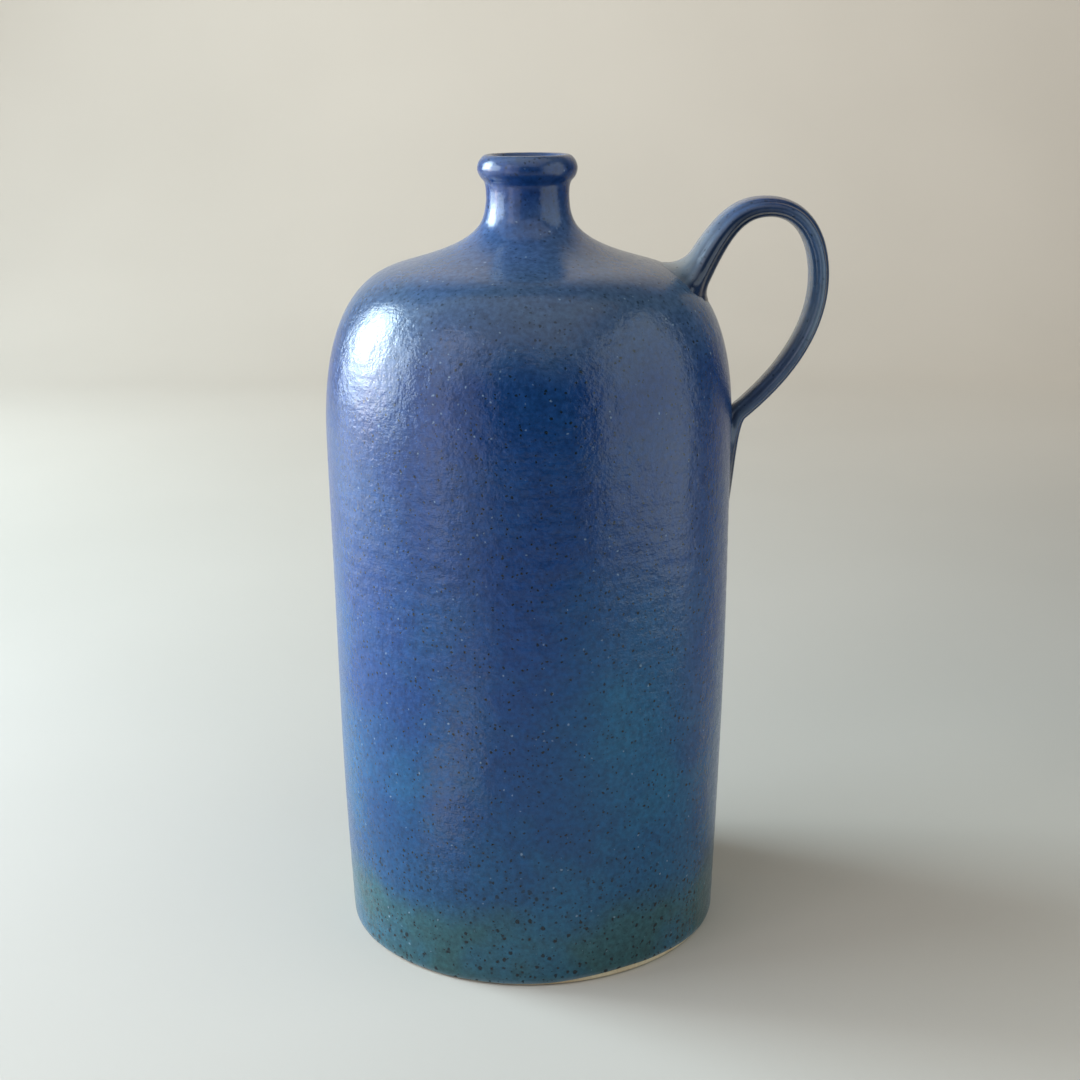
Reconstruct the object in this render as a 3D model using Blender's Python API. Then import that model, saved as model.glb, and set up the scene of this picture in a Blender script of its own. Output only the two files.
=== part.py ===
"""A stoneware sake bottle with a pulled strap handle, as separate solids in metres, +Z up.

The origin is the centre of the flat base that the bottle stands on, and the handle lies along +X.
The body is thrown with its floor, the neck is thrown separately and laps over the opening in the
shoulder, and the handle is a pulled strap whose two ends are luted to the shoulder and the wall.
"""

import math

import bmesh
import bpy
import numpy as np

# Heights, and drops measured down from the rim.
TOTAL_HEIGHT = 0.2400
BELLY_DROP = 0.0810  # the widest level
SHOULDER_DROP = 0.0320  # where the round shoulder turns into the slope up to the neck
NECK_WAIST_DROP = 0.0117  # the narrowest level of the neck
LIP_HALF_HEIGHT = 0.0044

# Radii of the outside.
BELLY_RADIUS = 0.0618
FOOT_TAPER = 0.0029  # how much smaller the foot's radius is than the belly's
SHOULDER_REACH = 0.0218  # how far in from the belly's radius the round shoulder ends
SHOULDER_SLOPE = math.radians(14.5)
NECK_RADIUS = 0.0123
LIP_RADIUS = 0.0148
MOUTH_RADIUS = 0.0092

# Thicknesses of the clay.
WALL = 0.0055
NECK_WALL = 0.0032
FLOOR = 0.0075
FOOT_CHAMFER = 0.0010
FLOOR_CORNER_RADIUS = 0.0120

# The lapped joint between the body and the neck, and the gap left wherever two pieces meet.
JOINT_RADIUS = 0.0230
JOINT_LAP = 0.0040
CLEARANCE = 0.0003

# The handle's centreline in the XZ plane, as reaches out from the belly and drops down from the rim.
ROOT_REACH = -0.0127
ROOT_DROP = 0.0369
ROOT_ANGLE = math.radians(63)
APEX_REACH = 0.0092
APEX_DROP = 0.0154
BOW_REACH = 0.0253  # the point furthest out
BOW_DROP = 0.0368
LANDING_REACH = 0.0025
LANDING_DROP = 0.0767
LANDING_ANGLE = math.radians(221)
TAIL_REACH = -0.0027
TAIL_DROP = 0.1080
EMBED = 0.0080  # how far the upper end runs on below the shoulder before it is trimmed to it

# The strap's size at its upper end, part of the way up, at the apex, bow, landing and tail.
STRAP_WIDTHS = (0.0270, 0.0195, 0.0165, 0.0150, 0.0125, 0.0110)
STRAP_THICKNESSES = (0.0130, 0.0082, 0.0060, 0.0057, 0.0053, 0.0045)
STRAP_SQUARENESS = 2.4  # the exponent of its section, where 2 is an ellipse

# How far each curve's control handles reach, as a share of the width, height or length that it spans.
SIDE_HOLD = (0.64, 1 / 3)  # of the foot's taper and of the rise, so that the taper is mostly near the foot
TURN_HOLD = (0.68, 0.53)  # leaving the belly, and reaching the shoulder
SLOPE_HOLD = (0.85, 0.53)  # leaving the shoulder, and reaching the neck's waist
THROAT_HOLD = (0.60, 0.35)  # leaving the waist, and reaching the underside of the lip
RISE_HOLD = (0.56, 0.30)  # leaving the handle's upper end, and reaching its apex
CROWN_HOLD = (0.73, 0.49)  # leaving the apex, and reaching the bow
DESCENT_HOLD = (0.44, 0.33)  # leaving the bow, and reaching the landing
TAIL_HOLD = (0.14, 0.50)  # leaving the landing, and reaching the tail's tip
TAIL_FLARE = 0.0022  # how far the tail leans out above its tip

LIP_UNDERSIDE = math.radians(-60)  # the angle on the lip's oval section where the throat meets it
TURN_FACETS = 40
SECTION_POINTS = 18
SAME_POINT = 1e-6


def arrow(angle, length):
    return length * np.array([math.cos(angle), math.sin(angle)])


def bezier(start, leave, arrive, end, count):
    """Points (radius, height) on a cubic curve, without its first one."""
    t = np.linspace(0, 1, count + 1)[1:, None]
    start, leave, arrive, end = (np.asarray(point) for point in (start, leave, arrive, end))
    return (1 - t) ** 3 * start + 3 * (1 - t) ** 2 * t * leave + 3 * (1 - t) * t**2 * arrive + t**3 * end


def ellipse(centre, half_width, half_height, first, last, count):
    """Points on an ellipse from one angle to another, without its first one."""
    angles = np.linspace(first, last, count + 1)[1:, None]
    return centre + np.hstack([half_width * np.cos(angles), half_height * np.sin(angles)])


def directions(curve):
    """The unit direction of a polyline at each of its points."""
    along = np.gradient(curve, axis=0)
    return along / np.linalg.norm(along, axis=1)[:, None]


def moved_left(curve, distances):
    """The curve moved to the left of its own direction, by a distance for each point."""
    along = directions(curve)
    left = np.stack([-along[:, 1], along[:, 0]], axis=1)
    return curve + left * np.broadcast_to(distances, len(curve))[:, None]


def lip_oval():
    """The centre and half width of the lip's oval section, which reaches from the mouth to the outside."""
    centre = np.array([(LIP_RADIUS + MOUTH_RADIUS) / 2, TOTAL_HEIGHT - LIP_HALF_HEIGHT])
    return centre, (LIP_RADIUS - MOUTH_RADIUS) / 2


def body_outside():
    """The foot's edge, the side, and the shoulder up to where its slope begins."""
    foot = np.array([BELLY_RADIUS - FOOT_TAPER, FOOT_CHAMFER])
    belly = np.array([BELLY_RADIUS, TOTAL_HEIGHT - BELLY_DROP])
    shoulder = np.array([BELLY_RADIUS - SHOULDER_REACH, TOTAL_HEIGHT - SHOULDER_DROP])
    rise = belly[1] - foot[1]
    turn = shoulder[1] - belly[1]
    leave_foot = foot + [SIDE_HOLD[0] * FOOT_TAPER, SIDE_HOLD[1] * rise]
    side = bezier(foot, leave_foot, belly - [0, SIDE_HOLD[1] * rise], belly, 6)
    reach_shoulder = shoulder + arrow(-SHOULDER_SLOPE, TURN_HOLD[1] * SHOULDER_REACH)
    round_turn = bezier(belly, belly + [0, TURN_HOLD[0] * turn], reach_shoulder, shoulder, 10)
    return np.concatenate([[foot - [FOOT_CHAMFER, FOOT_CHAMFER], foot], side, round_turn])


def neck_outside():
    """The slope up to the neck's waist, its throat, and the rolled lip up to the crest."""
    shoulder = np.array([BELLY_RADIUS - SHOULDER_REACH, TOTAL_HEIGHT - SHOULDER_DROP])
    waist = np.array([NECK_RADIUS, TOTAL_HEIGHT - NECK_WAIST_DROP])
    run = shoulder[0] - waist[0]
    rise = waist[1] - shoulder[1]
    leave_shoulder = shoulder + arrow(math.pi - SHOULDER_SLOPE, SLOPE_HOLD[0] * run)
    slope = bezier(shoulder, leave_shoulder, waist - [0, SLOPE_HOLD[1] * rise], waist, 12)
    centre, half_width = lip_oval()
    bead = ellipse(centre, half_width, LIP_HALF_HEIGHT, LIP_UNDERSIDE, math.pi / 2, 8)
    cosine, sine = arrow(LIP_UNDERSIDE, 1)
    under = centre + [half_width * cosine, LIP_HALF_HEIGHT * sine]
    heading = np.array([-half_width * sine, LIP_HALF_HEIGHT * cosine])
    leave_waist = waist + [0, THROAT_HOLD[0] * (under[1] - waist[1])]
    throat = bezier(waist, leave_waist, under - THROAT_HOLD[1] * heading, under, 4)
    return np.concatenate([slope, throat, bead])


def body_inside(outside):
    """The wall's inside from the shoulder down, the floor's corner and the centre of the floor."""
    corner_height = FLOOR + FLOOR_CORNER_RADIUS
    wall = moved_left(outside, WALL)
    wall = wall[wall[:, 1] > corner_height][::-1]
    radius = wall[-1, 0] - FLOOR_CORNER_RADIUS
    corner = ellipse([radius, corner_height], FLOOR_CORNER_RADIUS, FLOOR_CORNER_RADIUS, 0, -math.pi / 2, 5)
    return np.concatenate([wall, corner, [[0, FLOOR]]])


def neck_inside(outside):
    """The mouth from the crest of the lip down, and the bore, which widens down to the shoulder."""
    centre, half_width = lip_oval()
    mouth = ellipse(centre, half_width, LIP_HALF_HEIGHT, math.pi / 2, math.pi, 4)
    waist_height = TOTAL_HEIGHT - NECK_WAIST_DROP
    shoulder_height = TOTAL_HEIGHT - SHOULDER_DROP
    depths = np.interp(outside[:, 1], [shoulder_height, waist_height], [WALL, NECK_WALL])
    bore = moved_left(outside, depths)[outside[:, 1] <= waist_height + SAME_POINT][::-1]
    return np.concatenate([mouth, bore])


def height_at(curve, radius):
    """The height of a curve at a radius, where its radius changes one way only."""
    order = np.argsort(curve[:, 0])
    return float(np.interp(radius, curve[order, 0], curve[order, 1]))


def joint_steps(top, under, gap):
    """The stepped joint from the outside in: down to half the wall, inwards, and down to the inside."""
    outer_radius = JOINT_RADIUS - gap
    inner_radius = JOINT_RADIUS - JOINT_LAP - gap
    middle = (height_at(top, JOINT_RADIUS) + height_at(under, JOINT_RADIUS - JOINT_LAP)) / 2 + gap
    return np.array(
        [
            [outer_radius, height_at(top, outer_radius)],
            [outer_radius, middle],
            [inner_radius, middle],
            [inner_radius, height_at(under, inner_radius)],
        ]
    )


def body_and_neck():
    """The closed outlines of the two thrown pieces, which part at the lapped joint."""
    lower = body_outside()
    upper = neck_outside()
    outside = np.concatenate([lower, upper])
    slope = upper[upper[:, 1] < TOTAL_HEIGHT - NECK_WAIST_DROP]
    upper_inside = neck_inside(outside)
    bore = upper_inside[upper_inside[:, 1] < TOTAL_HEIGHT - NECK_WAIST_DROP]
    under = bore[bore[:, 1] > TOTAL_HEIGHT - BELLY_DROP]
    body_steps = joint_steps(slope, under, 0)
    neck_steps = joint_steps(slope, under, CLEARANCE)
    lower_inside = body_inside(outside)
    inner_edge = JOINT_RADIUS - JOINT_LAP
    in_body = (lower_inside[:, 0] > inner_edge) | (lower_inside[:, 1] < TOTAL_HEIGHT - BELLY_DROP)
    body = [
        [[0, 0]],
        lower,
        slope[slope[:, 0] > JOINT_RADIUS],
        body_steps,
        under[under[:, 0] > inner_edge],
        lower_inside[in_body & (lower_inside[:, 1] < under[-1, 1])],
    ]
    neck = [
        neck_steps[::-1],
        upper[upper[:, 0] < JOINT_RADIUS - CLEARANCE],
        upper_inside[upper_inside[:, 0] < inner_edge - CLEARANCE],
    ]
    return np.concatenate(body), np.concatenate(neck)


def finished(name, mesh):
    """Links a bmesh as an object, with its faces pointing out and its round faces smooth."""
    bmesh.ops.recalc_face_normals(mesh, faces=mesh.faces)
    data = bpy.data.meshes.new(name)
    mesh.to_mesh(data)
    mesh.free()
    data.shade_smooth()
    data.set_sharp_from_angle(angle=math.radians(35))
    piece = bpy.data.objects.new(name, data)
    bpy.context.scene.collection.objects.link(piece)
    return piece


def turned(name, outline):
    """A solid turned about the Z axis from an outline of (radius, height)."""
    mesh = bmesh.new()
    points = [mesh.verts.new((radius, 0, height)) for radius, height in outline]
    edges = [mesh.edges.new(pair) for pair in zip(points, points[1:])]
    if outline[0][0] > 0:
        edges.append(mesh.edges.new((points[-1], points[0])))
    bmesh.ops.spin(
        mesh, geom=points + edges, axis=(0, 0, 1), angle=2 * math.pi, steps=TURN_FACETS, use_merge=True
    )
    bmesh.ops.remove_doubles(mesh, verts=mesh.verts, dist=SAME_POINT)
    return finished(name, mesh)


def handle_path():
    """Points (radius, height) along the strap, and the station of each of its six sizes."""

    def place(reach, drop):
        return np.array([BELLY_RADIUS + reach, TOTAL_HEIGHT - drop])

    root = place(ROOT_REACH, ROOT_DROP)
    apex = place(APEX_REACH, APEX_DROP)
    bow = place(BOW_REACH, BOW_DROP)
    landing = place(LANDING_REACH, LANDING_DROP)
    tail = place(TAIL_REACH, TAIL_DROP)
    start = root - arrow(ROOT_ANGLE, EMBED)
    climb = np.linalg.norm(apex - root)
    crown = bow - apex
    drop = bow[1] - landing[1]
    fall = landing[1] - tail[1]
    landing_way = arrow(LANDING_ANGLE, 1)
    foot = [start, (start + root) / 2]
    leave_root = root + arrow(ROOT_ANGLE, RISE_HOLD[0] * climb)
    rise = bezier(root, leave_root, apex - [RISE_HOLD[1] * climb, 0], apex, 8)
    leave_apex = apex + [CROWN_HOLD[0] * crown[0], 0]
    over = bezier(apex, leave_apex, bow - [0, CROWN_HOLD[1] * crown[1]], bow, 8)
    reach_landing = landing - DESCENT_HOLD[1] * drop * landing_way
    descent = bezier(bow, bow - [0, DESCENT_HOLD[0] * drop], reach_landing, landing, 10)
    leave_landing = landing + TAIL_HOLD[0] * fall * landing_way
    tip = bezier(landing, leave_landing, tail + [TAIL_FLARE, TAIL_HOLD[1] * fall], tail, 8)
    points = np.concatenate([foot, [root], rise, over, descent, tip])
    ends = np.cumsum([len(foot), len(rise), len(over), len(descent), len(tip)])
    return points, [ends[0], (2 * ends[0] + ends[1]) / 3, *ends[1:]]


def strap(name):
    """The handle's whole strap: a rounded oblong section carried along its path."""
    points, size_stations = handle_path()
    stations = np.arange(len(points))
    half_widths = np.interp(stations, size_stations, STRAP_WIDTHS) / 2
    half_thicknesses = np.interp(stations, size_stations, STRAP_THICKNESSES) / 2
    along = directions(points)
    outward = np.stack([-along[:, 1], along[:, 0]], axis=1)
    angles = np.linspace(0, 2 * math.pi, SECTION_POINTS, endpoint=False)
    across = np.sign(np.cos(angles)) * np.abs(np.cos(angles)) ** (2 / STRAP_SQUARENESS)
    through = np.sign(np.sin(angles)) * np.abs(np.sin(angles)) ** (2 / STRAP_SQUARENESS)
    mesh = bmesh.new()
    rings = []
    for point, normal, half_width, half_thickness in zip(points, outward, half_widths, half_thicknesses):
        section = point + normal * (through * half_thickness)[:, None]
        rings.append([mesh.verts.new((x, y, z)) for (x, z), y in zip(section, across * half_width)])
    for ring, following in zip(rings, rings[1:]):
        for i in range(SECTION_POINTS):
            j = (i + 1) % SECTION_POINTS
            mesh.faces.new((ring[i], ring[j], following[j], following[i]))
    mesh.faces.new(rings[0])
    mesh.faces.new(rings[-1])
    return finished(name, mesh)


def trimmed(piece, cutter):
    """Cuts away what lies inside the cutter."""
    cutter.hide_render = True
    cutter.display_type = "WIRE"
    boolean = piece.modifiers.new("trim", "BOOLEAN")
    boolean.operation = "DIFFERENCE"
    boolean.solver = "EXACT"
    boolean.object = cutter


def handle():
    """The strap, its ends cut to fit the outside of the bottle with a clearance."""
    piece = strap("handle")
    outside = np.concatenate([body_outside(), neck_outside()])
    grown = moved_left(outside, -CLEARANCE)
    seat = np.concatenate([[[0, 0]], grown, [[0, grown[-1, 1]]]])
    trimmed(piece, turned("handle_seat_cutter", seat))
    return piece


def material(name, colour, roughness):
    made = bpy.data.materials.new(name)
    made.use_nodes = True
    shader = made.node_tree.nodes["Principled BSDF"]
    shader.inputs["Base Color"].default_value = (*colour, 1)
    shader.inputs["Roughness"].default_value = roughness
    shader.inputs["Metallic"].default_value = 0
    return made


def build():
    for leftover in list(bpy.data.objects):
        bpy.data.objects.remove(leftover)
    body_outline, neck_outline = body_and_neck()
    pieces = (
        (turned("body", body_outline), material("cobalt_glaze", (0.045, 0.095, 0.215), 0.28)),
        (turned("neck", neck_outline), material("slate_glaze", (0.095, 0.120, 0.185), 0.28)),
        (handle(), material("handle_glaze", (0.060, 0.100, 0.200), 0.25)),
    )
    for piece, glaze in pieces:
        piece.data.materials.append(glaze)


build()
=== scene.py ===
import math

import bpy
import numpy as np
from mathutils import Matrix, Vector


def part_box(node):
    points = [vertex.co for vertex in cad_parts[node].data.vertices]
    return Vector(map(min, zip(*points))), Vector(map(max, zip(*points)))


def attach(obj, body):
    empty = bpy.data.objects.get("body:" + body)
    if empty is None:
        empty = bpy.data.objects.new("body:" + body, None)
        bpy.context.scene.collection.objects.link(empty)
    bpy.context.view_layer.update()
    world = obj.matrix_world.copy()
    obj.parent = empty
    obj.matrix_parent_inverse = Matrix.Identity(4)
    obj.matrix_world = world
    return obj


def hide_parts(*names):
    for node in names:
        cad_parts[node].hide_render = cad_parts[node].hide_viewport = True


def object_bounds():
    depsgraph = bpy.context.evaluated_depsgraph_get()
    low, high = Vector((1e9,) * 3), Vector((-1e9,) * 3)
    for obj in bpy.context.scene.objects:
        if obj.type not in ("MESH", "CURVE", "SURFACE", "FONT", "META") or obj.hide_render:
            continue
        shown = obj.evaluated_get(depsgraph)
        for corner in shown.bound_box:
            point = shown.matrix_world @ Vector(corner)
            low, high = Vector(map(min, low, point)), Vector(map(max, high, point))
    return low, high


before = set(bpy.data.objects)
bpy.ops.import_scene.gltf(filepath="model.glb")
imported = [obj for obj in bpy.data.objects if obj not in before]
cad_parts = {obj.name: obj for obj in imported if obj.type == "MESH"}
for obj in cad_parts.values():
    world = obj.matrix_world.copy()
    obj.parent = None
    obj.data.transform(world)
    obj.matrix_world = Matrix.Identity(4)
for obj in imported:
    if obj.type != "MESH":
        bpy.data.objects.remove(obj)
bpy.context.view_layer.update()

# ---------------------------------------------------------------------------------------- the thrown body
# The body is one throw of buff stoneware with its floor, drawn up nearly straight and collared in at the shoulder.
# It was dipped whole in a satin cobalt glaze and its foot was wiped clean, so the glaze ends in a rounded edge just
# above the table, and the bare clay below it shows on one side.

MM = 0.001
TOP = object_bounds()[1].z
BELLY_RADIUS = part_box("body")[1].y
BELLY_HEIGHT = TOP - 81 * MM
FOOT_TAPER = 2.9 * MM
FOOT_ROUNDING = 1 * MM
SHOULDER = np.array([BELLY_RADIUS - 21.8 * MM, TOP - 32 * MM])
SHOULDER_SLOPE = math.radians(14.5)
WAIST = np.array([12.3 * MM, TOP - 11.7 * MM])
LIP_RADIUS = 14.8 * MM
MOUTH_RADIUS = 9.2 * MM
LIP_HALF_HEIGHT = 3.9 * MM
LIP_KEENNESS = 1.15
JOINT_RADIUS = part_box("neck")[1].y + 0.3 * MM
JOINT_LAP = 4 * MM
JOINT_EASING = 9 * MM
WALL = 5.5 * MM
NECK_WALL = 3.2 * MM
FLOOR = 7.5 * MM
FLOOR_CORNER = 12 * MM
GLAZE_DEPTH = 0.4 * MM
FOOT_ZONE = 12 * MM
WALL_ROW_STEP = 1.42 * MM
SCORE_PITCH = 4.6 * MM
SCORE_BEND = 80 * MM
NECK_WHEEL = 0.35
COLUMNS = 360


def arrow(angle, length=1.0):
    """A vector in the half plane of radius and height: length times (cosine, sine) of the angle."""
    return length * np.array([math.cos(angle), math.sin(angle)])


def bezier(start, leave, arrive, end, count=200):
    """Points of the cubic (1-t)^3 start + 3(1-t)^2 t leave + 3(1-t) t^2 arrive + t^3 end, without the first."""
    t = np.linspace(0, 1, count + 1)[1:, None]
    start, leave, arrive, end = (np.asarray(point) for point in (start, leave, arrive, end))
    return (1 - t) ** 3 * start + 3 * (1 - t) ** 2 * t * leave + 3 * (1 - t) * t**2 * arrive + t**3 * end


def oval(centre, half_width, half_height, first, last, count=100, power=1.0):
    """Points centre + (half_width c, half_height s), as an angle a runs from first to last. c and s are the cosine
    and sine of a with their sizes raised to the power: 1 gives an ellipse, and more gives a keener edge."""
    angles = np.linspace(first, last, count + 1)[1:, None]
    cosine, sine = (np.sign(wave) * np.abs(wave) ** power for wave in (np.cos(angles), np.sin(angles)))
    return np.asarray(centre) + np.hstack([half_width * cosine, half_height * sine])


def resampled(curve, step):
    """The curve again, its points evenly spaced along it at the spacing nearest to step that divides it."""
    lengths = np.concatenate([[0], np.cumsum(np.linalg.norm(np.diff(curve, axis=0), axis=1))])
    places = np.linspace(0, lengths[-1], max(2, round(lengths[-1] / step) + 1))
    return np.stack([np.interp(places, lengths, curve[:, i]) for i in range(curve.shape[1])], axis=1)


def leftward(curve):
    """The unit vector to the left of the curve's direction at each of its points."""
    along = np.gradient(curve, axis=0)
    along /= np.linalg.norm(along, axis=1)[:, None]
    return np.stack([-along[:, 1], along[:, 0]], axis=1)


def thrown_outside():
    """(radius, height) up the outside: rounded foot, wall, shoulder, slope to the waist, throat and lip's crest."""
    foot = np.array([BELLY_RADIUS - FOOT_TAPER, FOOT_ROUNDING])
    belly = np.array([BELLY_RADIUS, BELLY_HEIGHT])
    edge = oval(foot - [FOOT_ROUNDING, 0], FOOT_ROUNDING, FOOT_ROUNDING, -math.pi / 2, 0)
    rise, turn = belly[1] - foot[1], SHOULDER[1] - belly[1]
    wall = bezier(foot, foot + [0.64 * FOOT_TAPER, rise / 3], belly - [0, rise / 3], belly)
    reach = SHOULDER + arrow(-SHOULDER_SLOPE, 0.53 * (belly[0] - SHOULDER[0]))
    shoulder = bezier(belly, belly + [0, 0.68 * turn], reach, SHOULDER)
    leave = SHOULDER + arrow(math.pi - SHOULDER_SLOPE, 0.85 * (SHOULDER[0] - WAIST[0]))
    slope = bezier(SHOULDER, leave, WAIST - [0, 0.53 * (WAIST[1] - SHOULDER[1])], WAIST)
    centre = np.array([(LIP_RADIUS + MOUTH_RADIUS) / 2, TOP - LIP_HALF_HEIGHT])
    half_width = (LIP_RADIUS - MOUTH_RADIUS) / 2
    bead = oval(centre, half_width, LIP_HALF_HEIGHT, math.radians(-60), math.pi / 2, power=LIP_KEENNESS)
    under, heading = bead[0], arrow(math.atan2(*(bead[1] - bead[0])[::-1]), 3 * MM)
    throat = bezier(WAIST, WAIST + [0, 0.6 * (under[1] - WAIST[1])], under - 0.35 * heading, under)[:-1]
    return np.concatenate([edge, wall, shoulder, slope, throat, bead])


def eased(curve, lowest, highest, reach):
    """The curve, its bends softened between two heights: each point there moves to the mean of the points within
    reach along the curve, weighted by a Hann window, and this fades in and out over 8 mm of height."""
    spacing = np.linalg.norm(curve[1] - curve[0])
    window = np.hanning(2 * round(reach / spacing) + 1)
    means = np.stack([np.convolve(part, window / window.sum(), mode="same") for part in curve.T], axis=1)
    heights = curve[:, 1:]
    share = np.clip((heights - lowest) / (8 * MM), 0, 1) * np.clip((highest - heights) / (8 * MM), 0, 1)
    return curve + share * (means - curve)


def throwing(height, angle):
    """Radial relief left by the wheel and the fingers, in metres: a slow wobble of two and three lobes, a spiral
    ridge 6 mm apart whose strength swells and fades up the wall, and a finer one 2.3 mm apart. All are sines."""
    wobble = 0.14 * np.sin(2 * angle + 9 * height / TOP) + 0.09 * np.sin(3 * angle - 14 * height / TOP + 1)
    swell = 0.5 + 0.5 * np.sin(height / (17 * MM) + 0.7)
    spiral = 0.035 * swell * np.sin(2 * math.pi * height / (6.1 * MM) + angle)
    fine = 0.007 * np.sin(2 * math.pi * height / (2.3 * MM) + angle + 3 * np.sin(height / (11 * MM)))
    return (wobble + spiral + fine) * MM


def round_the_axis(radii, heights, angles):
    """Points (r cos a, r sin a, z), where the thrown relief is added to r in proportion to the root of r."""
    radii, heights, angles = np.broadcast_arrays(radii, heights, angles)
    radii = radii + throwing(heights, angles) * np.sqrt(radii / BELLY_RADIUS)
    return np.stack([radii * np.cos(angles), radii * np.sin(angles), heights], axis=2)


def skin(name, grid, poles=None, crease=35):
    """A closed mesh from a grid of points (rows, columns, 3) whose columns run right round. Two poles close its
    first and last rows with fans, or, without them, the last row joins the first."""
    rows, columns = grid.shape[:2]
    here = np.arange(rows * columns).reshape(rows, columns)
    beside = np.roll(here, -1, axis=1)
    quads = np.stack([here, beside, np.roll(beside, -1, axis=0), np.roll(here, -1, axis=0)], axis=2)
    points = grid.reshape(-1, 3)
    if poles is None:
        corners, sizes = quads.ravel(), np.full(rows * columns, 4)
    else:
        low, high = (np.full(columns, rows * columns + i) for i in (0, 1))
        low_fan = np.stack([low, beside[0], here[0]], axis=1)
        high_fan = np.stack([high, here[-1], beside[-1]], axis=1)
        corners = np.concatenate([quads[:-1].ravel(), low_fan.ravel(), high_fan.ravel()])
        sizes = np.concatenate([np.full((rows - 1) * columns, 4), np.full(2 * columns, 3)])
        points = np.concatenate([points, poles])
    mesh = bpy.data.meshes.new(name)
    mesh.vertices.add(len(points))
    mesh.vertices.foreach_set("co", points.astype(np.float32).ravel())
    mesh.loops.add(len(corners))
    mesh.loops.foreach_set("vertex_index", corners.astype(np.int32))
    mesh.polygons.add(len(sizes))
    mesh.polygons.foreach_set("loop_start", np.concatenate([[0], np.cumsum(sizes)[:-1]]).astype(np.int32))
    mesh.update(calc_edges=True)
    mesh.shade_smooth()
    mesh.set_sharp_from_angle(angle=math.radians(crease))
    piece = bpy.data.objects.new(name, mesh)
    bpy.context.scene.collection.objects.link(piece)
    return piece


def note(piece, attribute, values):
    """Stores a number for each point of a piece's grid under a name that its material reads. Poles take 0, and a
    name that a piece doesn't store reads as 0."""
    layer = piece.data.attributes.new(attribute, "FLOAT", "POINT")
    spare = len(piece.data.vertices) - values.size
    layer.data.foreach_set("value", np.append(values.ravel(), np.zeros(spare)).astype(np.float32))


def near(angle, middle, spread):
    """A bell of height 1 about an angle: exp(-(a/spread)^2), a being the turn from the middle, within half a turn."""
    return np.exp(-((((angle - middle + math.pi) % (2 * math.pi)) - math.pi) / spread) ** 2)


def glaze_line(angle):
    """Height of the glaze's lower edge round the foot: a low line, two places where it was wiped higher, each a
    bell, and three small sines."""
    wiped = 1.55 * near(angle, math.radians(300), 0.45) + 0.9 * near(angle, math.radians(100), 0.5)
    uneven = 0.09 * np.sin(5 * angle) + 0.06 * np.sin(11 * angle + 2) + 0.04 * np.sin(23 * angle + 1)
    return (0.45 + wiped + uneven) * MM


angles = np.linspace(0, 2 * math.pi, COLUMNS, endpoint=False)[None, :]
outside = eased(resampled(thrown_outside(), 0.1 * MM), BELLY_HEIGHT, TOP - 20 * MM, JOINT_EASING)
depths = np.interp(outside[:, 1], [SHOULDER[1], WAIST[1]], [WALL, NECK_WALL])
inside = outside + leftward(outside) * depths[:, None]
wall_only = outside[outside[:, 1] < BELLY_HEIGHT]

# The base, hollowed by 0.25 mm, with the curved scores of the cutting wire, which stand 0.1 mm from trough to crest.
base_edge = wall_only[0, 0] - GLAZE_DEPTH
base_radii = np.linspace(2 * MM, base_edge, 36)[:, None]
across, along = base_radii * np.cos(angles), base_radii * np.sin(angles)
score_phase = 2 * math.pi * (along + across**2 / (2 * SCORE_BEND)) / SCORE_PITCH + 2 * np.sin(across / (9 * MM))
scores = 0.5 + 0.5 * np.sin(score_phase)
hollow = np.clip((base_edge - base_radii) / (6 * MM), 0, 1) ** 2
base_heights = (0.25 + 0.10 * scores) * hollow * MM

# The bare clay, the rounded edge of the glaze and the lowest of the wall follow the glaze line round the foot.
line = glaze_line(angles)
clay_rows = np.linspace(0.2, 1, 5)[:, None] * line
curl = np.linspace(-math.pi / 2, 0, 6)[1:, None]
curl_rows = line + GLAZE_DEPTH * (1 + np.sin(curl))
above = np.linspace(0, 1, 13)[1:, None]
above_rows = (line + GLAZE_DEPTH) * (1 - above) + FOOT_ZONE * above
foot_heights = np.concatenate([clay_rows, curl_rows, above_rows])
foot_depths = np.concatenate(
    [
        np.full(len(clay_rows), GLAZE_DEPTH),
        GLAZE_DEPTH * (1 - np.cos(curl[:, 0])),
        np.zeros(len(above_rows)),
    ]
)
foot_radii = np.interp(foot_heights, wall_only[:, 1], wall_only[:, 0]) - foot_depths[:, None]

# Up the outside to the joint with the neck, through the joint's step, and down the inside.
over_joint = (outside[:, 0] < JOINT_RADIUS) & (outside[:, 1] > SHOULDER[1])
joint = int(np.argmax(over_joint))
under_joint = int(np.argmax((inside[:, 0] < JOINT_RADIUS - JOINT_LAP) & (inside[:, 1] > SHOULDER[1] - WALL)))
joint_middle = (outside[joint, 1] + inside[under_joint, 1]) / 2
step_rows = np.array([[outside[joint, 0], joint_middle], [inside[under_joint, 0], joint_middle]])
wall_rows = resampled(outside[int(np.argmax(outside[:, 1] > FOOT_ZONE)) : joint + 1], WALL_ROW_STEP)
hidden_side = inside[: under_joint + 1]
inner_rows = resampled(hidden_side[hidden_side[:, 1] > FLOOR + FLOOR_CORNER][::-1], 5 * MM)
corner = inner_rows[-1] - [FLOOR_CORNER, 0]
corner_rows = oval([corner[0], FLOOR + FLOOR_CORNER], FLOOR_CORNER, FLOOR_CORNER, 0, -math.pi / 2, 7)
floor_rows = np.stack([np.linspace(corner[0], 3 * MM, 6)[1:], np.full(5, FLOOR)], axis=1)
upper_rows = np.concatenate([wall_rows, step_rows, inner_rows, corner_rows, floor_rows])
body_grid = np.concatenate(
    [
        round_the_axis(base_radii, base_heights, angles),
        round_the_axis(foot_radii, foot_heights, angles),
        round_the_axis(upper_rows[:, :1], upper_rows[:, 1:], angles),
    ]
)
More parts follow.
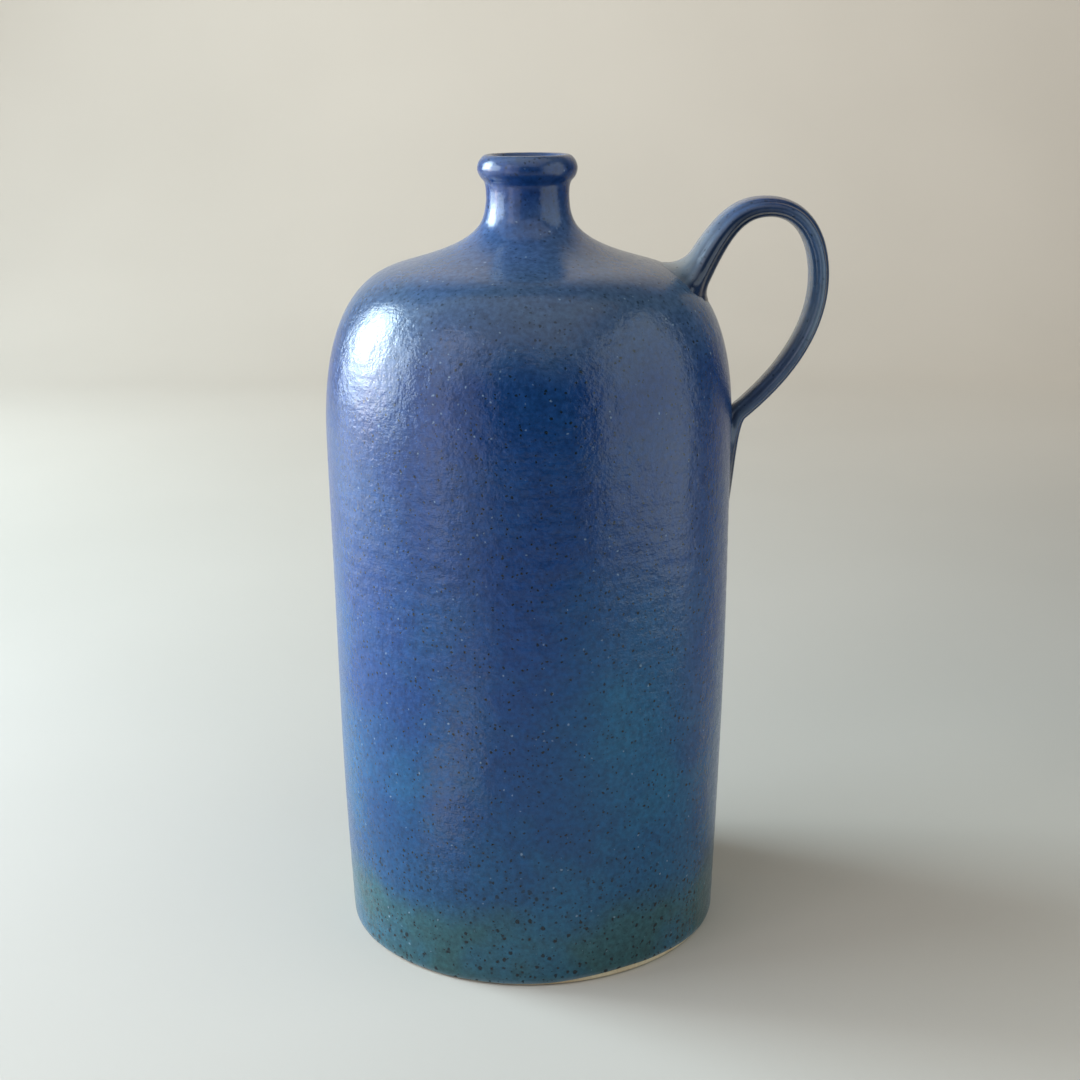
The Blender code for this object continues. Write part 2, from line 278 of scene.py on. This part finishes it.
glazed_body = skin("glazed_body", body_grid, poles=[[0, 0, base_heights[0].mean()], [0, 0, FLOOR]])

# The glaze is thin where it rolls over its own edge, ran teal in one place, and is smoother towards the neck.
first_glazed = len(base_radii) + len(clay_rows)
grid_heights = body_grid[:, :, 2]
edge_roll = np.exp(-(grid_heights - line) / (0.5 * MM))
edge_roll[:first_glazed] = 0
note(glazed_body, "thin_glaze_and_painted_light", 0.6 * edge_roll)
run_angle, run_height, run_reach = math.radians(300), 80 * MM, 34 * MM
run = near(angles, run_angle, 0.34) * np.exp(-(((grid_heights - run_height) / run_reach) ** 2))
note(glazed_body, "run", run)
smoothed_from, smoothed_to = TOP - 52 * MM, TOP - 34 * MM
note(glazed_body, "wheel", np.interp(grid_heights, [smoothed_from, smoothed_to], [1, NECK_WHEEL]))


def srgb(code):
    """The linear colour of an sRGB hex code: each channel c is c/12.92 up to 0.04045, then ((c+0.055)/1.055)^2.4."""
    channels = [int(code[i : i + 2], 16) / 255 for i in (1, 3, 5)]
    return (*(c / 12.92 if c <= 0.04045 else ((c + 0.055) / 1.055) ** 2.4 for c in channels), 1)


def add(tree, kind, inputs=None, ramp=None, **options):
    """Adds a node: its options, its ramp as (place, hex code) pairs, and for each input a value or what feeds it."""
    made = tree.nodes.new("ShaderNode" + kind)
    for option, value in options.items():
        setattr(made, option, value)
    if ramp:
        stops = made.color_ramp.elements
        while len(stops) < len(ramp):
            stops.new(0.5)
        for stop, (place, code) in zip(stops, ramp):
            stop.position, stop.color = place, srgb(code)
    for name, value in (inputs or {}).items():
        socket = made.inputs[name] if isinstance(name, int) else None
        socket = socket or next(s for s in made.inputs if s.enabled and s.name == name)
        if isinstance(value, bpy.types.Node):
            value = next(output for output in value.outputs if output.enabled)
        if isinstance(value, bpy.types.NodeSocket):
            tree.links.new(value, socket)
        else:
            socket.default_value = value
    return made


def new_material(name):
    """An empty node material and its tree."""
    made = bpy.data.materials.new(name)
    made.use_nodes = True
    made.node_tree.nodes.clear()
    return made, made.node_tree


def cobalt_glaze():
    """Satin cobalt ash glaze over iron-speckled stoneware, dipped and fired in reduction. It is glassy over a faint
    crinkle and the wheel's fine lines, so lights smear up and down into broken columns. It is slate on the shoulder
    and green grey at the foot, clouds from violet blue to teal, and carries dark iron specks and pale ash flecks.
    The lighter slate on the shoulder and its upward slope is partly its own tone and partly painted light from above."""
    made, tree = new_material("cobalt_ash_glaze_on_stoneware")
    place = add(tree, "TexCoord").outputs["Object"]
    height = add(tree, "SeparateXYZ", {"Vector": place}).outputs["Z"]

    # Colour by height, its bands bent by a slow drift, then clouded with teal.
    drift = add(tree, "TexNoise", {"Vector": place, "Scale": 1 / (20 * MM), "Detail": 3, "Roughness": 0.55})
    drifted = add(tree, "Math", {0: drift, 1: 20 * MM, 2: height}, operation="MULTIPLY_ADD")
    level = add(tree, "MapRange", {"Value": drifted, "From Min": 10 * MM, "From Max": TOP + 10 * MM})
    stops = [
        (0.000, "#244749"),
        (0.070, "#244c55"),
        (0.115, "#114064"),
        (0.200, "#0a3a66"),
        (0.420, "#0c3569"),
        (0.750, "#0d2f5e"),
        # These two lighter slate stops, on the shoulder and its upward slope, are partly the glaze's tone and partly
        # painted light from above.
        (0.840, "#384e68"),
        (0.900, "#385176"),
        (0.955, "#0f2f5e"),
    ]
    by_height = add(tree, "ValToRGB", {"Fac": level}, ramp=stops)
    drifting = add(tree, "Mapping", {"Vector": place, "Location": (0.13, 0.06, 0.4)})
    cloud = add(tree, "TexNoise", {"Vector": drifting, "Scale": 1 / (30 * MM), "Detail": 3})
    teal_by_height = {"Value": drifted, "From Min": 60 * MM, "From Max": 140 * MM, "To Min": 0.6, "To Max": 0.15}
    teal = add(tree, "MapRange", teal_by_height)
    cloudy = add(tree, "MapRange", {"Value": cloud, "From Min": 0.45, "From Max": 0.68, "To Max": teal})
    run = add(tree, "Attribute", attribute_name="run").outputs["Fac"]
    tealness = add(tree, "Math", {0: run, 1: 0.85, 2: cloudy}, operation="MULTIPLY_ADD", use_clamp=True)
    clouded = add(tree, "Mix", {"Factor": tealness, "A": by_height, "B": srgb("#135274")}, data_type="RGBA")
    mottle = add(tree, "TexNoise", {"Vector": place, "Scale": 1 / (1.6 * MM), "Detail": 2, "Roughness": 0.6})
    shade = add(tree, "MapRange", {"Value": mottle, "From Min": 0.3, "From Max": 0.7, "To Min": 0.74, "To Max": 1.26})
    mottled = add(tree, "VectorMath", {0: clouded, "Scale": shade}, operation="SCALE")

    # Thin over edges, where the clay shows through grey green. On the handle the same grey green is also painted
    # light, and the dark mix below is painted shade.
    thin_glaze_and_painted_light = add(tree, "Attribute", attribute_name="thin_glaze_and_painted_light").outputs["Fac"]
    patchy = add(tree, "MapRange", {"Value": cloud, "From Min": 0.35, "From Max": 0.6, "To Min": 0.55, "To Max": 1.3})
    thinness_and_painted_light = add(tree, "Math", {0: thin_glaze_and_painted_light, 1: patchy}, operation="MULTIPLY", use_clamp=True)
    thinned_and_painted_light = add(tree, "Mix", {"Factor": thinness_and_painted_light, "A": mottled, "B": srgb("#8797a0")}, data_type="RGBA")
    # Painted shade: dark navy in the handle's grooves, at its join with the wall, under its arch and on the outer side
    # of its falling part.
    painted_shade = add(tree, "Attribute", attribute_name="painted_shade").outputs["Fac"]
    with_painted_shade = add(tree, "Mix", {"Factor": painted_shade, "A": thinned_and_painted_light, "B": srgb("#091c36")}, data_type="RGBA")

    # Specks: one to each few millimetres, of its own radius and ragged edge. Each kind is its spacing and its largest
    # radius in mm, with the share of them left out between. Iron is everywhere, larger at the foot, and ash is rare.
    iron, foot_iron, ash = (1.35, 0.22, 0.44), (1.9, 0.25, 0.74), (2.3, 0.50, 0.34)
    edge = 0.06
    ragged = add(tree, "TexNoise", {"Vector": place, "Scale": 1 / (1.2 * MM), "Detail": 1}).outputs["Color"]
    pushed = add(tree, "VectorMath", {0: ragged, 1: (0.9 * MM,) * 3, 2: place}, operation="MULTIPLY_ADD")
    low = add(tree, "MapRange", {"Value": drifted, "From Min": 34 * MM, "From Max": 60 * MM, "To Min": 1, "To Max": 0})
    specks = []
    for spacing, left_out, radius in (iron, foot_iron, ash):
        cells = add(tree, "TexVoronoi", {"Vector": pushed, "Scale": 1 / (spacing * MM)})
        chance = add(tree, "SeparateColor", {"Color": cells.outputs["Color"]}).outputs["Red"]
        radii = {"Value": chance, "From Min": left_out, "From Max": 1, "To Min": -edge, "To Max": radius / spacing}
        own = add(tree, "MapRange", radii)
        gap = add(tree, "Math", {0: own, 1: cells.outputs["Distance"]}, operation="SUBTRACT")
        specks.append(add(tree, "MapRange", {"Value": gap, "From Min": -edge, "From Max": edge}))
    everywhere, larger, flecks = specks
    at_foot = add(tree, "Math", {0: larger, 1: low}, operation="MULTIPLY")
    speck = add(tree, "Math", {0: everywhere, 1: at_foot}, operation="MAXIMUM")
    wheel = add(tree, "Attribute", attribute_name="wheel").outputs["Fac"]
    strength = add(tree, "MapRange", {"Value": wheel, "From Min": 0.3, "To Min": 0.5, "To Max": 0.92})
    dimmed = add(tree, "Math", {0: speck, 1: strength}, operation="MULTIPLY")
    faint = add(tree, "Math", {0: flecks, 1: 0.55}, operation="MULTIPLY")
    flecked = add(tree, "Mix", {"Factor": faint, "A": with_painted_shade, "B": srgb("#7f97a8")}, data_type="RGBA")
    speckled = add(tree, "Mix", {"Factor": dimmed, "A": flecked, "B": srgb("#03161f")}, data_type="RGBA")

    # The skin: wheel lines about 1.5 mm apart that run round the axis, a ripple and a fine crinkle.
    flattened = add(tree, "Mapping", {"Vector": place, "Scale": (0.14, 0.14, 1)})
    lines = add(tree, "TexNoise", {"Vector": flattened, "Scale": 1 / (1.5 * MM), "Detail": 2, "Roughness": 0.6})
    ripple = add(tree, "TexNoise", {"Vector": place, "Scale": 1 / (5 * MM), "Detail": 1})
    crinkle = add(tree, "TexNoise", {"Vector": place, "Scale": 1 / MM, "Detail": 2, "Roughness": 0.6})
    surface = add(tree, "Bump", {"Height": ripple, "Strength": wheel, "Distance": 0.28 * MM})
    surface = add(tree, "Bump", {"Height": lines, "Strength": wheel, "Distance": 0.08 * MM, "Normal": surface})
    surface = add(tree, "Bump", {"Height": crinkle, "Strength": wheel, "Distance": 0.15 * MM, "Normal": surface})
    satin = {"Value": mottle, "From Min": 0.3, "From Max": 0.7, "To Min": 0.15, "To Max": 0.27}
    gloss = {"Roughness": add(tree, "MapRange", satin), "IOR": 1.45, "Normal": surface}
    shader = add(tree, "BsdfPrincipled", {"Base Color": speckled} | gloss)
    add(tree, "OutputMaterial", {"Surface": shader})
    return made


def bare_clay():
    """Unglazed buff stoneware, wiped and dry-footed: matt, warm cream, with grog and iron grains and toasted
    patches from the kiln."""
    made, tree = new_material("bare_buff_stoneware")
    place = add(tree, "TexCoord").outputs["Object"]
    toast = add(tree, "TexNoise", {"Vector": place, "Scale": 1 / (14 * MM), "Detail": 3})
    grog = add(tree, "TexNoise", {"Vector": place, "Scale": 1 / (0.8 * MM), "Detail": 3, "Roughness": 0.7})
    warm = add(tree, "ValToRGB", {"Fac": toast}, ramp=[(0.35, "#cfc2a4"), (0.7, "#b79d78")])
    shade = add(tree, "MapRange", {"Value": grog, "From Min": 0.3, "From Max": 0.7, "To Min": 0.85, "To Max": 1.1})
    clay = add(tree, "VectorMath", {0: warm, "Scale": shade}, operation="SCALE")
    surface = add(tree, "Bump", {"Height": grog, "Strength": 1.0, "Distance": 0.06 * MM})
    shader = add(tree, "BsdfPrincipled", {"Base Color": clay, "Roughness": 0.85, "Normal": surface})
    add(tree, "OutputMaterial", {"Surface": shader})
    return made


# The base, its middle fan and the strip under the glaze line are bare clay, and all the rest is glazed.
glaze, clay = cobalt_glaze(), bare_clay()
glazed_body.data.materials.append(glaze)
glazed_body.data.materials.append(clay)
body_faces = np.zeros(len(glazed_body.data.polygons), np.int32)
body_faces[: (first_glazed - 1) * COLUMNS] = 1
body_faces[(len(body_grid) - 1) * COLUMNS : len(body_grid) * COLUMNS] = 1
glazed_body.data.polygons.foreach_set("material_index", body_faces)
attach(glazed_body, "root")
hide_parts("body")

# --------------------------------------------------------------------------------------------- the neck
# The neck is a small thrown collar with a rolled lip, lapped over the opening in the shoulder and smoothed into
# it, so that the joint can't be seen under the glaze. The glaze draws thin on the lip and breaks grey green there.

slope_rows = resampled(outside[joint:][outside[joint:, 1] < WAIST[1]], 0.8 * MM)
lip_rows = resampled(outside[outside[:, 1] >= WAIST[1]], 0.42 * MM)
lip_centre = [(LIP_RADIUS + MOUTH_RADIUS) / 2, TOP - LIP_HALF_HEIGHT]
mouth_rows = oval(lip_centre, (LIP_RADIUS - MOUTH_RADIUS) / 2, LIP_HALF_HEIGHT, math.pi / 2, math.pi, 12)
bore = inside[under_joint:]
bore_rows = resampled(np.concatenate([mouth_rows[-1:], bore[bore[:, 1] < WAIST[1]][::-1]]), 1.2 * MM)[1:]
neck_rows = np.concatenate([slope_rows, lip_rows, mouth_rows, bore_rows, step_rows[::-1]])
neck_grid = round_the_axis(neck_rows[:, :1], neck_rows[:, 1:], angles)
glazed_neck = skin("glazed_neck", neck_grid)
crest = np.exp(-(((neck_rows[:, 1] - TOP) / (2.2 * MM)) ** 2))
note(glazed_neck, "thin_glaze_and_painted_light", np.repeat(0.22 * crest[:, None], COLUMNS, axis=1))
note(glazed_neck, "wheel", np.full(neck_grid.shape[:2], NECK_WHEEL))
glazed_neck.data.materials.append(glaze)
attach(glazed_neck, "root")
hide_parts("neck")

# ------------------------------------------------------------------------------------------- the handle
# The handle is a strap pulled from a carrot of the same clay, its edges left with a ridge between two finger
# grooves. The thick end is luted to the shoulder and worked in all round, and the thin end is pressed to the wall.

RING_POINTS = 72
ROOT_ANGLE = math.radians(63)
LANDING_ANGLE = math.radians(221)
ROOT_SUNK = 3.0 * MM
STRAP_WIDTHS = np.array([23.0, 18.5, 16.5, 15.0, 12.5, 10.5]) * MM
STRAP_THICKNESSES = np.array([9.5, 7.8, 6.0, 5.7, 5.3, 4.5]) * MM
SQUARENESS = 2.3
HANDLE_WHEEL = 0.3


def on_handle(reach, drop):
    """A point of the handle's middle line, from its reach out from the belly and its drop from the rim, in mm."""
    return np.array([BELLY_RADIUS + reach * MM, TOP - drop * MM])


def handle_line():
    """(radius, height) along the strap's middle, how far along it each of the six widths is, and its length."""
    root, apex, bow = on_handle(-12.7, 36.9), on_handle(9.2, 15.4), on_handle(25.3, 36.8)
    landing, tail = on_handle(2.5, 76.7), on_handle(-2.7, 108.0)
    landing_way = arrow(LANDING_ANGLE)
    climb = np.linalg.norm(apex - root)
    over_x, over_z = bow - apex
    fall = landing[1] - tail[1]
    sunk = root - arrow(ROOT_ANGLE, ROOT_SUNK)
    rise = bezier(root, root + arrow(ROOT_ANGLE, 0.56 * climb), apex - [0.30 * climb, 0], apex)
    crown = bezier(apex, apex + [0.73 * over_x, 0], bow - [0, 0.49 * over_z], bow)
    drop = bow[1] - landing[1]
    descent = bezier(bow, bow - [0, 0.44 * drop], landing - 0.33 * drop * landing_way, landing)
    tip = bezier(landing, landing + 0.14 * fall * landing_way, tail + [2.2 * MM, 0.5 * fall], tail)
    curve = np.concatenate([[sunk, root], rise, crown, descent, tip])
    lengths = np.concatenate([[0], np.cumsum(np.linalg.norm(np.diff(curve, axis=0), axis=1))])
    marks = [1, 1 + len(rise) // 3, 1 + len(rise), 1 + 2 * len(rise), 1 + 3 * len(rise), 1 + 4 * len(rise)]
    return curve, lengths[marks], lengths[-1]


def above_skin(points):
    """Signed distance of points from the thrown outside, and the outward direction there: the nearest point of the
    outline is found in the plane of radius and height, and the distance is measured along its normal."""
    skin_line = resampled(outside, 0.25 * MM)
    out = -leftward(skin_line)
    flat = points.reshape(-1, 3)
    radii, turn = np.hypot(flat[:, 0], flat[:, 1]), np.arctan2(flat[:, 1], flat[:, 0])
    radii = radii - throwing(flat[:, 2], turn) * np.sqrt(radii / BELLY_RADIUS)
    place = np.stack([radii, flat[:, 2]], axis=1)
    nearest = np.concatenate(
        [
            np.argmin(((part[:, None, :] - skin_line[None]) ** 2).sum(axis=2), axis=1)
            for part in np.array_split(place, 24)
        ]
    )
    distance = ((place - skin_line[nearest]) * out[nearest]).sum(axis=1)
    normal = np.stack([out[nearest, 0] * np.cos(turn), out[nearest, 0] * np.sin(turn), out[nearest, 1]], axis=1)
    return distance.reshape(points.shape[:2]), normal.reshape(points.shape)


def worked_in(points, middles, fillets):
    """Spreads the strap's skin over the wall near it: a point at distance d moves away from the strap's middle,
    along the wall, by R (1 - sqrt(1 - (1 - d/R)^2)), a round fillet of radius R, and keeps its distance d."""
    distance, normal = above_skin(points)
    arm = points - middles
    reach = np.linalg.norm(arm, axis=2, keepdims=True)
    sideways = (arm - (arm * normal).sum(axis=2, keepdims=True) * normal) / reach
    share = 1 - np.clip(distance / fillets, 0, 1)
    spread = fillets * (1 - np.sqrt(1 - share**2))
    moved = points + sideways * spread[:, :, None]
    new_distance, new_normal = above_skin(moved)
    return moved - (new_distance - distance)[:, :, None] * new_normal, distance


# The strap's section, carried along its line: a squared oval |y/a|^n + |z/b|^n = 1 with a ridge down each edge and a
# finger groove on either side of it.
curve, marks, handle_length = handle_line()
line_points = resampled(curve, 0.9 * MM)
stations = np.linspace(0, handle_length, len(line_points))
soft = np.hanning(15) / np.hanning(15).sum()
smooth_sizes = [
    np.convolve(np.pad(np.interp(stations, marks, sizes), 7, mode="edge"), soft, mode="valid")
    for sizes in (STRAP_WIDTHS, STRAP_THICKNESSES)
]
widths, thicknesses = (sizes[:, None] for sizes in smooth_sizes)
outward = leftward(line_points)
ring = np.linspace(0, 2 * math.pi, RING_POINTS, endpoint=False)[None, :]
from_edge = np.abs((ring + math.pi / 2) % math.pi - math.pi / 2)
groove = np.exp(-(((from_edge - 0.62) / 0.20) ** 2))
ridge = np.exp(-((from_edge / 0.22) ** 2))
shrink = 1 - 0.085 * groove + 0.03 * ridge
width_part, depth_part = (
    np.sign(wave) * np.abs(wave) ** (2 / SQUARENESS) * shrink for wave in (np.cos(ring), np.sin(ring))
)
pulled = 0.12 * MM * np.sin(stations / (13 * MM))[:, None] * np.sin(3 * ring + 1)
strap_y = width_part * (widths / 2 + pulled) + 0.5 * MM * np.sin(stations / (31 * MM))[:, None]
strap_out = depth_part * (thicknesses / 2 + pulled)
strap = np.stack(
    [
        line_points[:, :1] + outward[:, :1] * strap_out,
        strap_y,
        line_points[:, 1:] + outward[:, 1:] * strap_out,
    ],
    axis=2,
)
middles = np.stack([line_points[:, 0], np.zeros(len(line_points)), line_points[:, 1]], axis=1)[:, None, :]
top_side = 0.5 + 0.5 * np.sin(ring)
at_root = (stations < marks[2])[:, None]
fillet_under, fillet_over, fillet_at_tail = 3.4 * MM, 7.4 * MM, 1.2 * MM
fillets = np.where(at_root, fillet_under + (fillet_over - fillet_under) * top_side, fillet_at_tail)
handle_grid, skin_distance = worked_in(strap, middles, fillets)
ends = [[line_points[i, 0], 0, line_points[i, 1]] for i in (0, -1)]
glazed_handle = skin("glazed_handle", handle_grid, poles=ends, crease=60)

# The glaze is thin on the ridge. The top of the rising part and the inner side of the falling part take the same grey
# green as painted light. Painted shade darkens the grooves, the join with the wall, the underside of the arch and the
# outer side of the falling part.
upper = np.clip((marks[2] + 14 * MM - stations) / (22 * MM), 0, 1)[:, None]
rising = np.clip((marks[2] - stations) / (20 * MM), 0, 1)[:, None]
lower = np.clip((stations - marks[3]) / (15 * MM), 0, 1)[:, None]
# The ridge term is thin glaze; the rising part's top and the falling part's inner side are painted light.
thin_glaze_and_painted_light = 0.06 + 0.1 * ridge + (0.02 + 0.72 * rising) * top_side**2 + 0.3 * lower * (1 - top_side)
note(glazed_handle, "thin_glaze_and_painted_light", thin_glaze_and_painted_light)
# Painted shade, mixed to dark navy in the material.
in_join = 0.45 * np.exp(-((skin_distance / (1.6 * MM)) ** 2))
in_grooves = 0.3 * groove * (1 - lower)
under_arch = 0.95 * upper * np.clip((0.7 - top_side) / 0.16, 0, 1)
outer_side = 0.65 * (1 - upper) * top_side
note(glazed_handle, "painted_shade", np.clip(in_join + in_grooves + under_arch + outer_side, 0, 1))
note(glazed_handle, "wheel", np.full(handle_grid.shape[:2], HANDLE_WHEEL))
glazed_handle.data.materials.append(glaze)
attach(glazed_handle, "root")
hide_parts("handle")

# -------------------------------------------------------------------------------- floor, light and camera
# A plain pale paper floor that sweeps up behind the bottle, a cool window on the left with soft cards and a ceiling
# round it, a light on the sweep, and a camera a little above the rim that looks down at the wall.

sweep_radius, sweep_back, sweep_top = 0.5, 1.4, 3
curve_centre = [sweep_back - sweep_radius, sweep_radius]
bend = oval(curve_centre, sweep_radius, sweep_radius, -math.pi / 2, 0, 24)
sweep = np.concatenate([[[-2.5, 0]], [[0.5, 0]], bend, [[sweep_back, sweep_top]]])
sides = np.array([-3.0, 3.0])
floor_grid = np.stack(
    [
        np.broadcast_to(sides, (len(sweep), 2)),
        np.repeat(sweep[:, :1], 2, axis=1),
        np.repeat(sweep[:, 1:], 2, axis=1),
    ],
    axis=2,
)
index = np.arange(len(sweep) * 2).reshape(-1, 2)
faces = np.stack([index[:-1, 0], index[:-1, 1], index[1:, 1], index[1:, 0]], axis=1)
floor_mesh = bpy.data.meshes.new("pale_sweep")
floor_mesh.from_pydata(floor_grid.reshape(-1, 3).tolist(), [], faces.tolist())
floor_mesh.shade_smooth()
pale_sweep = bpy.data.objects.new("pale_sweep", floor_mesh)
bpy.context.scene.collection.objects.link(pale_sweep)
paper, tree = new_material("matt_background_paper")
fibres = add(tree, "TexNoise", {"Vector": add(tree, "TexCoord").outputs["Object"], "Scale": 1 / 0.3, "Detail": 2})
tone = add(tree, "ValToRGB", {"Fac": fibres}, ramp=[(0.3, "#aca79d"), (0.7, "#b1aca2")])
add(tree, "OutputMaterial", {"Surface": add(tree, "BsdfPrincipled", {"Base Color": tone, "Roughness": 0.9})})
pale_sweep.data.materials.append(paper)


def soft_light(name, place, aim, size, power, code):
    """An area light of (width, height) at a place, turned so that it faces its aim with its height upright."""
    lamp = bpy.data.lights.new(name, "AREA")
    lamp.shape, lamp.size, lamp.size_y = "RECTANGLE", *size
    lamp.energy, lamp.color = power, srgb(code)[:3]
    light = bpy.data.objects.new(name, lamp)
    bpy.context.scene.collection.objects.link(light)
    turn = (Vector(aim) - Vector(place)).to_track_quat("-Z", "Y").to_matrix().to_4x4()
    light.matrix_world = Matrix.Translation(place) @ turn
    light.visible_camera = False


# The window's highlight on the left of the shoulder: the pane, the open sky behind its far end, and a warm curtain.
soft_light("window", (-1.16, 0.16, 0.44), (0, 0, 0.4), (1.25, 0.72), 25.5, "#dcf0ff")
soft_light("open_sky", (-1.03, 0.34, 0.58), (0, 0, 0.15), (0.44, 0.6), 16, "#d9f2ff")
soft_light("curtain", (-0.99, 0.13, 0.3), (0, 0, 0.3), (0.14, 0.5), 1.5, "#ffe2d8")

# Broad light from above, and the cards that the wall reflects as soft grey columns, the dark middle between them.
soft_light("ceiling", (-0.25, -0.45, 1.15), (-0.2, -0.1, 0), (1.9, 1.4), 6.6, "#fff8f4")
soft_light("side_card", (-0.36, 0.05, 0.31), (0, 0.05, 0.31), (0.34, 0.58), 0.7, "#e4ecff")
soft_light("left_card", (-0.36, -0.33, 0.31), (0, 0, 0.31), (0.5, 0.6), 1.05, "#f0f2ff")
soft_light("left_strip", (-0.35, -0.31, 0.31), (0, 0, 0.31), (0.1, 0.6), 0.35, "#f4f2ff")
soft_light("low_glow", (-0.115, -0.155, 0.003), (-0.115, -0.155, 1), (0.04, 0.13), 0.03, "#ffedc8")
soft_light("right_card", (0.34, -0.22, 0.27), (0, -0.22, 0.27), (0.49, 0.5), 1.35, "#e8f4f6")

# Light for the sweep alone.
soft_light("backdrop_light", (0, 0.55, 1.3), (0, 1.4, 1.05), (2.2, 0.5), 22, "#fff2e4")

world = bpy.data.worlds.new("studio")
bpy.context.scene.world = world
world.use_nodes = True
world.node_tree.nodes["Background"].inputs["Color"].default_value = srgb("#d8dce4")
world.node_tree.nodes["Background"].inputs["Strength"].default_value = 0.08

camera_place, camera_drop, camera_roll = (0.00307, -0.4970, TOP + 23.8 * MM), 15.906, -0.326
lens = bpy.data.cameras.new("camera")
lens.lens, lens.sensor_width, lens.clip_start = 55.0, 36, 0.01
camera = bpy.data.objects.new("camera", lens)
bpy.context.scene.collection.objects.link(camera)
tilt = Matrix.Rotation(math.radians(90 - camera_drop), 4, "X")
roll = Matrix.Rotation(math.radians(camera_roll), 4, "Z")
camera.matrix_world = Matrix.Translation(camera_place) @ tilt @ roll
bpy.context.scene.camera = camera
bpy.context.scene.view_settings.view_transform = "Standard"

bpy.context.view_layer.update()
